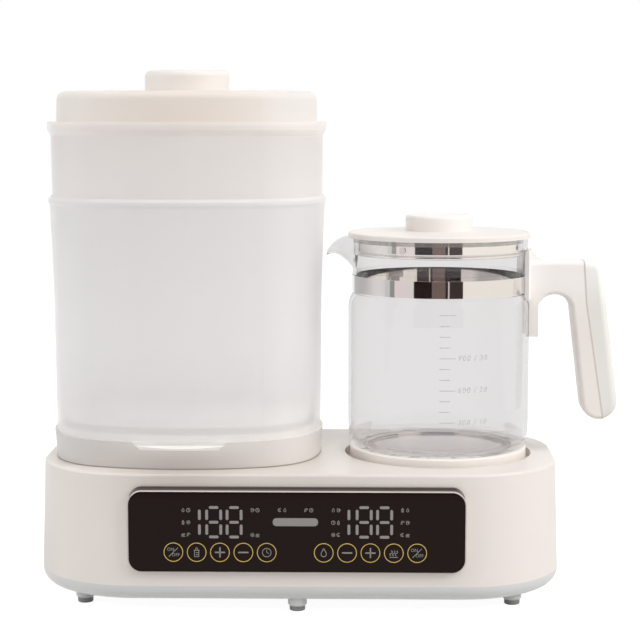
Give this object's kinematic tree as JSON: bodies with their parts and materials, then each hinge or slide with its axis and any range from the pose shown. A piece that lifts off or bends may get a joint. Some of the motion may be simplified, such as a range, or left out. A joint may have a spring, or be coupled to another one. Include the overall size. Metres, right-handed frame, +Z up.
{
  "type": "baby formula maker",
  "caption": "Steam steriliser and dryer stack beside a glass water kettle on one heated base with a touch panel",
  "frame": {"origin": "middle of the whole footprint, on the surface that the feet stand on", "axes": "+X to the right seen from the touch panel, +Y to the back, +Z up"},
  "size_m": [0.411, 0.191, 0.3694],
  "materials": {
    "cream_housing": "satin injection-moulded cream plastic",
    "cream_lid": "satin injection-moulded cream plastic",
    "cream_handle": "satin injection-moulded cream plastic",
    "black_front": "polished near-black front with printed keys",
    "dark_bezel": "satin warm grey plastic frame",
    "white_tray": "satin grey-white plastic",
    "white_rack": "satin white plastic",
    "frosted_wall": "translucent frosted plastic",
    "clear_glass": "clear borosilicate glass",
    "polished_band": "polished stainless steel",
    "brushed_plate": "brushed stainless steel",
    "clear_seal": "soft clear silicone",
    "grey_rubber": "matt grey rubber",
    "zinc_screws": "zinc-plated steel",
    "heater_tube": "dull cast aluminium",
    "circuit_board": "green circuit board",
    "display_module": "black display module",
    "board_component": "black moulded component",
    "contact_spring": "bright steel spring",
    "motor_can": "grey-painted steel can",
    "inner_plastic": "dark heat-resistant plastic",
    "filter_paper": "white pleated filter paper"
  },
  "bodies": {
    "base": {"base_upper_shell": "cream_housing", "base_lower_shell": "cream_housing", "base_screws": "zinc_screws", "rubber_feet": "grey_rubber", "control_panel": "black_front", "panel_bezel": "dark_bezel", "display_board": "circuit_board", "display_modules": "display_module", "touch_key_springs": "contact_spring", "power_board": "circuit_board", "power_board_parts": "board_component", "kettle_seat_ring": "cream_housing", "kettle_plate_seal": "grey_rubber", "kettle_heating_plate": "brushed_plate", "kettle_heating_element": "heater_tube", "kettle_thermostat": "board_component", "evaporating_dish": "brushed_plate", "dish_seal": "grey_rubber", "dish_heating_element": "heater_tube", "dish_thermostat": "board_component", "blower_housing": "inner_plastic", "blower_motor": "motor_can", "air_duct": "inner_plastic", "air_heater": "heater_tube", "cord_bushing": "grey_rubber"},
    "impeller": {"blower_impeller": "inner_plastic"},
    "filter": {"filter_cover": "cream_housing", "filter_frame": "inner_plastic", "air_filter": "filter_paper"},
    "tray": {"steriliser_tray": "white_tray"},
    "rack": {"bottle_rack": "white_rack"},
    "chamber": {"lower_chamber": "frosted_wall"},
    "accessory_chamber": {"upper_chamber": "frosted_wall"},
    "stack_lid": {"steriliser_lid": "cream_lid", "steriliser_lid_knob": "cream_lid", "steriliser_knob_screw": "zinc_screws"},
    "kettle": {"kettle_glass": "clear_glass", "kettle_collar": "polished_band", "kettle_handle": "cream_handle", "kettle_handle_cover": "cream_handle", "kettle_handle_screw": "zinc_screws"},
    "kettle_lid": {"kettle_lid": "cream_lid", "kettle_lid_cup": "polished_band", "kettle_lid_seal": "clear_seal", "kettle_lid_clips": "polished_band", "kettle_lid_knob": "cream_lid", "kettle_knob_screw": "zinc_screws"}
  },
  "joints": [
    {"name": "impeller_spin", "type": "hinge", "parent": "base", "child": "impeller", "pos_m": [-0.00693, 0.0369, 0.0278], "axis": [0, 0, 1], "continuous": true},
    {"name": "filter_pull", "type": "slide", "parent": "base", "child": "filter", "axis": [0, 1, 0], "range_m": [0, 0.03]},
    {"name": "tray_lift", "type": "slide", "parent": "base", "child": "tray", "axis": [0, 0, 1], "range_m": [0, 0.04]},
    {"name": "rack_lift", "type": "slide", "parent": "tray", "child": "rack", "axis": [0, 0, 1], "range_m": [0, 0.08]},
    {"name": "chamber_lift", "type": "slide", "parent": "tray", "child": "chamber", "axis": [0, 0, 1], "range_m": [0, 0.08]},
    {"name": "accessory_chamber_lift", "type": "slide", "parent": "chamber", "child": "accessory_chamber", "axis": [0, 0, 1], "range_m": [0, 0.08]},
    {"name": "stack_lid_lift", "type": "slide", "parent": "accessory_chamber", "child": "stack_lid", "axis": [0, 0, 1], "range_m": [0, 0.07]},
    {"name": "kettle_lift", "type": "slide", "parent": "base", "child": "kettle", "axis": [0, 0, 1], "range_m": [0, 0.09]},
    {"name": "kettle_lid_lift", "type": "slide", "parent": "kettle", "child": "kettle_lid", "axis": [0, 0, 1], "range_m": [0, 0.06]}
  ]
}
